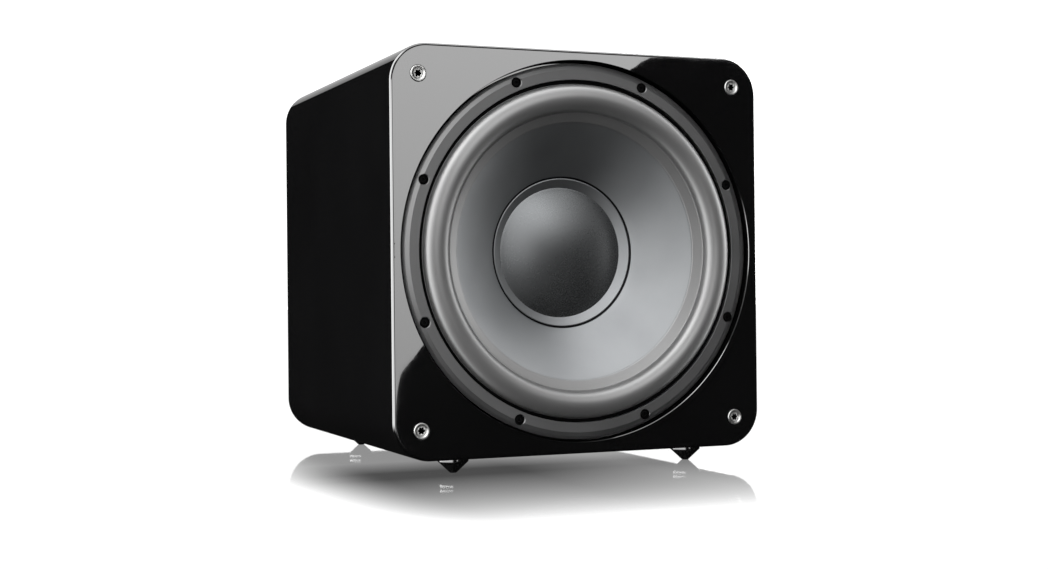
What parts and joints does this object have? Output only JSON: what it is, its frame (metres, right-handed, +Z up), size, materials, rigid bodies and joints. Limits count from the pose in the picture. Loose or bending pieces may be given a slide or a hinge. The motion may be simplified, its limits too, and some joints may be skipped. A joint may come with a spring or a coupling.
{
  "type": "subwoofer",
  "caption": "Sealed box powered subwoofer: gloss lacquered round-cornered cabinet on conical feet, front long-throw cone driver in a screwed trim ring, rear amplifier plate with controls.",
  "frame": {"origin": "on the floor plane under the middle of the whole object's box", "axes": "+Z up; the driver faces -Y and the amplifier plate +Y; +X is to the right of someone who looks at the driver"},
  "size_m": [0.33, 0.358, 0.3448],
  "materials": {
    "cabinet_lacquer": "black high-gloss lacquer over fibreboard",
    "raw_mdf": "bare fibreboard",
    "wadding": "matt polyester wadding",
    "socket_metal": "satin",
    "socket_rubber": "matt",
    "foot_gloss": "gloss black",
    "screw_black": "black oxide, satin",
    "cast_basket": "black powder coat",
    "trim_ring": "satin moulded",
    "gasket_foam": "matt foam",
    "surround_rubber": "satin",
    "cone_grey": "satin, faint fibre",
    "cap_grey": "satin, faint fibre",
    "former_aluminium": "plain",
    "copper": "enamelled copper",
    "spider_cloth": "resin-stiffened cloth",
    "zinc_steel": "zinc plated",
    "ferrite": "matt",
    "plastic_black": "moulded",
    "tinsel": "braided copper",
    "wire_red": "satin insulation",
    "wire_black": "satin insulation",
    "amp_plate": "fine-textured black powder coat",
    "board": "green solder mask",
    "transformer": "copper windings under tape",
    "knob": "soft satin",
    "lens": "clear blue tint"
  },
  "bodies": {
    "cabinet": {"cabinet_shell": "cabinet_lacquer", "front_baffle": "cabinet_lacquer", "rear_panel": "cabinet_lacquer", "brace": "raw_mdf", "lining": "wadding", "socket_ring_top_left": "socket_metal", "socket_ring_top_right": "socket_metal", "socket_ring_bottom_left": "socket_metal", "socket_ring_bottom_right": "socket_metal", "socket_insert_top_left": "socket_rubber", "socket_insert_top_right": "socket_rubber", "socket_insert_bottom_left": "socket_rubber", "socket_insert_bottom_right": "socket_rubber", "foot_front_left": "foot_gloss", "foot_front_right": "foot_gloss", "foot_rear_left": "foot_gloss", "foot_rear_right": "foot_gloss", "driver_screw_1": "screw_black", "driver_screw_2": "screw_black", "driver_screw_3": "screw_black", "driver_screw_4": "screw_black", "driver_screw_5": "screw_black", "driver_screw_6": "screw_black", "driver_screw_7": "screw_black", "driver_screw_8": "screw_black", "amp_screw_1": "screw_black", "amp_screw_2": "screw_black", "amp_screw_3": "screw_black", "amp_screw_4": "screw_black", "amp_screw_5": "screw_black", "amp_screw_6": "screw_black", "basket": "cast_basket", "trim_ring": "trim_ring", "gasket": "gasket_foam", "surround": "surround_rubber", "spider": "spider_cloth", "top_plate": "zinc_steel", "magnet": "ferrite", "yoke": "zinc_steel", "terminal_block": "plastic_black", "tinsel_lead_pos": "tinsel", "tinsel_lead_neg": "tinsel", "speaker_wire_pos": "wire_red", "speaker_wire_neg": "wire_black", "amp_plate": "amp_plate", "amp_chassis": "zinc_steel", "amp_board": "board", "transformer": "transformer", "iec_inlet": "plastic_black", "rocker_housing": "plastic_black", "rca_block": "plastic_black", "led_lens": "lens"},
    "cone_assembly": {"cone": "cone_grey", "dust_cap": "cap_grey", "coil_former": "former_aluminium", "coil_winding": "copper"},
    "rocker": {"power_rocker": "plastic_black"},
    "level": {"knob_level": "knob"},
    "lowpass": {"knob_lowpass": "knob"},
    "phase": {"knob_phase": "knob"}
  },
  "joints": [
    {"name": "cone_stroke", "type": "slide", "parent": "cabinet", "child": "cone_assembly", "axis": [0, -1, 0], "range_m": [-0.012, 0.012], "stiffness_N_per_m": 5900, "deforming": ["surround", "spider", "tinsel_lead_pos", "tinsel_lead_neg"]},
    {"name": "rocker_tilt", "type": "hinge", "parent": "cabinet", "child": "rocker", "pos_m": [-0.012, 0.169, 0.08665], "axis": [-1, 0, 0], "range_deg": [0, 14]},
    {"name": "level_turn", "type": "hinge", "parent": "cabinet", "child": "level", "pos_m": [-0.052, 0.175, 0.25665], "axis": [0, 1, 0], "range_deg": [-150, 150]},
    {"name": "lowpass_turn", "type": "hinge", "parent": "cabinet", "child": "lowpass", "pos_m": [0, 0.175, 0.25665], "axis": [0, 1, 0], "range_deg": [-150, 150]},
    {"name": "phase_turn", "type": "hinge", "parent": "cabinet", "child": "phase", "pos_m": [0.052, 0.175, 0.25665], "axis": [0, 1, 0], "range_deg": [-150, 150]}
  ]
}
